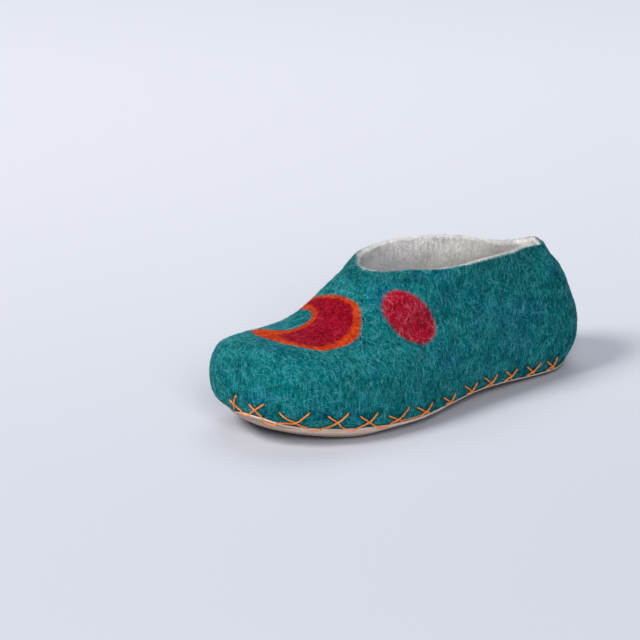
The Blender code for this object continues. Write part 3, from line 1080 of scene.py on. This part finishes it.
def felt_material():
    """Dyed and undyed wool on one piece: the vertex values say where each colour lies, and where shade is
    painted.
    """
    sheen = {"Sheen Weight": 0.04, "Sheen Roughness": 0.30, "Sheen Tint": (0.55, 0.85, 0.88, 1.0)}
    material, tree, shader = new_material("wool_felt", {**WOOL_SURFACE, **sheen})
    tone, relief = wool_tone(tree)
    tone = compute(tree, "ADD", tone, attribute(tree, "tone"))
    # Painted shade: the felt is darkened where it lies near the thread
    tone = compute(tree, "MULTIPLY_ADD", attribute(tree, "shade"), -0.40, tone)
    ragged = compute(tree, "SUBTRACT", grain(tree, 2.2, 3.0, shift=21.0), 0.5)
    patches = ease(tree, grain(tree, 24.0, 3.0, shift=13.0), 0.40, 0.80)

    place = node(tree, "ShaderNodeTexCoord").outputs["Object"]
    along = node(tree, "ShaderNodeSeparateXYZ", {"Vector": place}).outputs["Y"]
    # Painted shade: the teal is darker towards the heel, where the light falls off, and a little lighter
    # towards the toe
    teal_heel_shade_tone = compute(tree, "ADD", tone, ease(tree, along, 0.05, 0.125, 0.04, -0.16))
    # Painted light and shade on the lining: it darkens with depth below the rim, most towards the throat, and
    # is painted lighter towards the heel
    deep = ease(tree, attribute(tree, "lining"), 7.0, 20.0)
    lining_painted_shade_and_light = compute(tree, "MULTIPLY", deep, ease(tree, along, -0.020, 0.065, -1.15, 0.14))
    undyed_tone = compute(tree, "MULTIPLY_ADD", tone, 0.8, compute(tree, "ADD", lining_painted_shade_and_light, 0.10))

    def coloured(shades):
        tones = {UNDYED: undyed_tone, TEAL: teal_heel_shade_tone, TEAL_BLUE: teal_heel_shade_tone}
        return dyed(tree, tones.get(shades, tone), shades)

    def reaches(label, spread, soft):
        edge = compute(tree, "MULTIPLY_ADD", ragged, spread, attribute(tree, label))
        return ease(tree, edge, -soft, soft)

    colour = blend_colour(tree, patches, coloured(TEAL), coloured(TEAL_BLUE))
    colour = blend_colour(tree, reaches("crescent", 2.2, 1.1), colour, coloured(ORANGE))
    colour = blend_colour(tree, reaches("crescent_core", 2.6, 1.1), colour, coloured(CRIMSON))
    colour = blend_colour(tree, reaches("spot", 2.8, 1.6), colour, coloured(ROSE))
    colour = blend_colour(tree, reaches("lining", 3.6, 1.8), colour, coloured(UNDYED))
    finish_material(tree, shader, colour, relief, 0.75, 0.6)
    return material


def cream_felt_material():
    sheen = {"Sheen Weight": 0.1, "Sheen Roughness": 0.5}
    material, tree, shader = new_material("undyed_felt", {**WOOL_SURFACE, **sheen})
    tone, relief = wool_tone(tree)
    finish_material(tree, shader, dyed(tree, tone, UNDYED), relief, 0.5, 0.6)
    return material


def leather_material():
    material, tree, shader = new_material("rough_leather", {"Roughness": 0.72, "Specular IOR Level": 0.3})
    cloudy = grain(tree, 11.0, 3.0)
    pores = grain(tree, 0.8, 4.0, shift=4.0)
    fibres = grain(tree, 0.6, 3.0, stretch=(4, 4, 1), shift=8.0)
    tone = compute(tree, "MULTIPLY", cloudy, 0.45)
    tone = compute(tree, "MULTIPLY_ADD", ease(tree, pores, 0.3, 0.7), 0.35, tone)
    tone = compute(tree, "MULTIPLY_ADD", fibres, 0.25, tone)
    shades = (LEATHER_FACE, LEATHER_CUT, LEATHER_TURNED_UNDER_SHADE)
    face, cut, turned_under_shade = (blend_colour(tree, tone, *pair) for pair in shades)
    colour = blend_colour(tree, attribute(tree, "cut"), face, cut)
    # Painted shade: the leather darkens where the vertex value 'under' says it turns under
    colour = blend_colour(tree, attribute(tree, "under"), colour, turned_under_shade)
    finish_material(tree, shader, colour, compute(tree, "ADD", pores, fibres), 0.35, 0.4)
    return material


def thread_material():
    wax = {"Roughness": 0.42, "Coat Weight": 0.3, "Coat Roughness": 0.35}
    material, tree, shader = new_material("waxed_thread", wax)
    tone = ease(tree, grain(tree, 0.5, 2.0), 0.3, 0.7)
    finish_material(tree, shader, blend_colour(tree, tone, *THREAD_SHADES), grain(tree, 0.3, 2.0), 0.3, 0.2)
    return material


def hole_material():
    material, tree, shader = new_material("stitch_hole_shade", {"Roughness": 0.95})
    finish_material(tree, shader, blend_colour(tree, grain(tree, 0.6, 2.0), *HOLE_PAINTED_SHADE))
    return material


# The slipper


def pulls(loops, seam):
    """How far the tight stitches draw the felt in."""
    total = np.zeros(loops.shape[:2])
    places = stitch_holes() + [(row[0], row[1]) for row in STITCHES]
    for station, height in places:
        away = loops - seam.at(station, height)[0]
        total -= PULL_DEPTH * np.exp(-(away**2).sum(-1) / PULL_RADIUS**2)
    return np.clip(total, -1.5 * PULL_DEPTH, 0)


def outer_skin():
    loops = skin_loops()
    normals = outward(loops)
    drawn = pulls(loops, Rails(loops)) * smoothstep(0.0, 0.3, LEVELS)[:, None]
    loops = loops + normals * (creases(loops) + drawn)[..., None]
    above = smoothstep(0.0, 1.2, LEVELS)[:, None]
    loops = loops + normals * (lumps(loops, LUMPS) * above)[..., None]
    loops = lowered_rim(loops, RIM_DROP)
    forward = smoothstep(5.3, 7.0, LEVELS)[:, None] * np.exp(-((SIDE_U / HEEL_FORWARD_U) ** 2))
    lift = HEEL_LIFT * np.exp(-((SIDE_U / HEEL_LIFT_U) ** 2))
    lift = lift + CORNER_LIFT * np.exp(-(((SIDE_U - CORNER_U) / CORNER_REACH) ** 2)) * (SIDE > 0)
    loops[..., 1] -= HEEL_FORWARD * forward
    loops[..., 2] += smoothstep(6.1, 7.0, LEVELS)[:, None] * lift
    return loops


def make_upper(outer, seam, material):
    normals = smoothed(outward(outer), 3)
    roll = THROAT_ROLL * smoothstep(6.0, 6.8, LEVELS)[:, None] * smoothstep(0.76, 0.94, SIDE_U)
    levels = 7 - (7 - LEVELS[:, None]) * (1 + THROAT_BEVEL * smoothstep(0.66, 0.92, SIDE_U))
    thickness = FELT * (np.interp(levels, WALL_LEVELS, WALL_SHARES) + roll)
    inner = outer - smoothed(normals, 4) * thickness[..., None]
    # Inside, the sharp turn at the seam is cut across, so that the inner skin doesn't cross itself there
    kept = np.flatnonzero((LEVELS < INNER_CORNER[0]) | (LEVELS > INNER_CORNER[1]))[::-1][::INNER_STEP]
    inner = inner[kept]
    inner_lumps = lumps(inner, LUMPS, offset=40.0) * smoothstep(-9.0, 1.0, LEVELS[kept])[:, None]
    inner_lumps[0] = 0
    inner = inner - normals[kept] * inner_lumps[..., None]
    up = unit(outer[-1] - outer[-2])
    rim = turned_edge(outer[-1], inner[0], up, RIM_HEIGHT * (1 + 0.5 * roll[-1][:, None]), RIM_STEPS)
    loops = np.concatenate([outer, rim, inner])

    spills = (np.interp(SIDE_U, SPILL_U, row) for row in (SPILL_OUTER, SPILL_INNER))
    spill = np.where(SIDE > 0, *spills)
    lowered = np.linalg.norm(np.diff(outer, axis=0), axis=-1)
    below_rim = np.concatenate([-np.cumsum(lowered[::-1], axis=0)[::-1], np.zeros((1, AROUND))])
    over_rim = np.linspace(-1, 1, RIM_STEPS + 2)[1:-1, None] * HALF_RIM
    over_rim = np.broadcast_to(over_rim, (RIM_STEPS, AROUND))
    down_inside = np.cumsum(np.linalg.norm(np.diff(inner, axis=0, prepend=rim[-1:]), axis=-1), axis=0)
    past = np.concatenate([below_rim - HALF_RIM, over_rim, down_inside + HALF_RIM])
    values = {
        "lining": np.clip(past + spill, FAR_OUTSIDE, 30),
        "shade": beside_stitches(loops, seam),
        **motif_values(loops),
    }
    for label in ("crescent", "crescent_core", "spot"):
        values[label][len(outer) :] = FAR_OUTSIDE
        values[label][:UNDERSIDE] = FAR_OUTSIDE
    upper = shell("felt_upper", loops, values, material)
    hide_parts("upper")
    return upper


def make_sole(seam, material):
    skin = skin_loops()[: UNDERSIDE + 1]
    normals = outward(skin_loops())[: UNDERSIDE + 1]
    three_rounds = np.tile(edge_height(seam.stations[:-1]), 3)
    rise = np.convolve(three_rounds, np.ones(7) / 7, "same")[AROUND : 2 * AROUND]
    for step in range(1, EDGE_STEPS + 1):
        height = (rise + 0.3) * step / EDGE_STEPS
        spots = [seam.at(station, up) for station, up in zip(seam.stations[:-1], height)]
        skin = np.concatenate([skin, [[place for place, _ in spots]]])
        normals = np.concatenate([normals, [[normal for _, normal in spots]]])
    inner_face = skin + normals * SEATING_GAP
    insets = np.concatenate([UNDERSIDE_INSETS, np.zeros(EDGE_STEPS + 1)])
    cupped = smoothstep(0.0, -60.0, skin[0, :, 1])
    full = np.clip(insets[:, None] / SKIVE_WIDTH, 0, 1) ** 0.7
    thick_edge = 0.66 * cupped * (1 - 0.5 * smoothstep(38.0, 8.0, np.abs(seam.stations[:-1])))
    full = SKIVED + (1 - SKIVED) * np.maximum(full, thick_edge[None])
    outer_face = skin + normals * (SEATING_GAP + LEATHER * full)[..., None]
    edge_wave = 0.35 * field(skin[-1], 12.0, 3.0) + 0.15 * field(skin[-1], 4.0, 9.0)
    up = unit(skin[-1] - skin[-1 - EDGE_STEPS])
    for face in (inner_face, outer_face):
        face[-1] += up * edge_wave[:, None]
    outer_face = outer_face + normals * (0.12 * field(outer_face, 14.0, 5.0))[..., None]
    outer_face[..., 2] = np.maximum(outer_face[..., 2], 0.0)
    lip = turned_edge(outer_face[-1], inner_face[-1], up, 0.45, 4)
    loops = np.concatenate([outer_face, lip, inner_face[::-1]])
    cut = np.zeros(loops.shape[:2])
    cut[len(outer_face) : len(outer_face) + 4] = 1.0
    cut[len(outer_face) - 1] = 0.7
    # Painted shade: the leather's outer face is darkened where it turns under towards the floor, from a
    # gentler slope at the waist and heel than round the cupped toe
    under = np.zeros(loops.shape[:2])
    turned = -0.36 - 0.38 * cupped
    under[: len(outer_face)] = smoothstep(turned, turned - 0.22, outward(outer_face)[..., 2])
    sole = shell("leather_sole", loops, {"cut": cut, "under": under}, material)
    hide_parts("sole")
    return sole


def make_insole(material):
    kept = [i for i, inset in enumerate(UNDERSIDE_INSETS) if inset >= INSOLE_INSET]
    skin, normals = skin_loops()[kept], outward(skin_loops())[kept]
    lower = skin - normals * (FELT + SEATING_GAP)
    upper = skin - normals * (FELT + SEATING_GAP + INSOLE)
    upper = upper - normals * (lumps(upper, ((18.0, 0.25), (5.0, 0.15)), 60.0))[..., None]
    edge = turned_edge(lower[-1], upper[-1], unit(skin[-1] - skin[-2]), 0.8, 4)
    loops = np.concatenate([lower, edge, upper[::-1]])
    insole = shell("felt_insole", loops, {}, material)
    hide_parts("insole")
    return insole


def add_floor():
    """A pale round floor, painted a little lighter away from the camera: painted light on its far part."""
    material, tree, shader = new_material("studio_floor", {"Roughness": 0.75, "Specular IOR Level": 0.2})
    place = node(tree, "ShaderNodeTexCoord").outputs["Object"]
    away = Vector(facing(*CAMERA_FACING)[2]) * -1
    depth = node(tree, "ShaderNodeVectorMath", {0: place, 1: (away.x, away.y, 0.0)}, operation="DOT_PRODUCT")
    # Painted light: the floor's colour grows lighter away from the camera
    painted_far_light = ease(tree, depth.outputs["Value"], -0.5, 0.95)
    tone = compute(tree, "MULTIPLY_ADD", grain(tree, 2.0, 3.0), 0.1, painted_far_light)
    finish_material(tree, shader, blend_colour(tree, tone, *FLOOR_NEAR_AND_FAR_PAINTED))
    mesh = bpy.data.meshes.new("floor")
    turns = np.linspace(0, 2 * np.pi, FLOOR_SIDES, endpoint=False)
    rim = [(FLOOR_RADIUS * np.cos(a), FLOOR_RADIUS * np.sin(a), 0) for a in turns]
    mesh.from_pydata(rim, [], [list(range(FLOOR_SIDES))])
    mesh.materials.append(material)
    floor = bpy.data.objects.new("floor", mesh)
    bpy.context.scene.collection.objects.link(floor)
    floor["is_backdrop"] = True


bpy.context.scene.view_settings.view_transform = "Standard"
add_camera()
add_world(*WORLD_LIGHT, *BACKDROP)
for row in LIGHTS:
    add_area_light(*row)
add_floor()

felt = felt_material()
outer = outer_skin()
seam = Rails(outer)
upper = make_upper(outer, seam, felt)
make_sole(seam, leather_material())
make_insole(cream_felt_material())
make_thread(seam, thread_material())
make_holes(seam, hole_material())

# The loops that each kind of fibre grows on: the dyed outside, the rim, and the lining's upper part
wool = Surface(upper)
loop = np.arange(len(wool.areas)) // AROUND
past_rim = OUTER_LOOPS + RIM_STEPS
rim = ((loop >= OUTER_LOOPS - 5) & (loop < past_rim + 1)) * (1 + 2 * (wool.centres[:, 1] < THROAT_Y))
weights = {
    "outside": ((loop >= UNDERSIDE + 1) & (loop < OUTER_LOOPS - 1)).astype(float),
    "rim": rim.astype(float),
    "inside": ((loop >= OUTER_LOOPS + 2) & (loop < past_rim + LINING_LOOPS)).astype(float),
}
for name, place, count, seed, *rest in FIBRES:
    slot = "teal_felt" if place == "outside" else "cream_felt"
    add_fibres(wool, weights[place], felt, name, slot, count, SEED + seed, *rest)

[[list(corner) for corner in box] for box in (cad_box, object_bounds())]
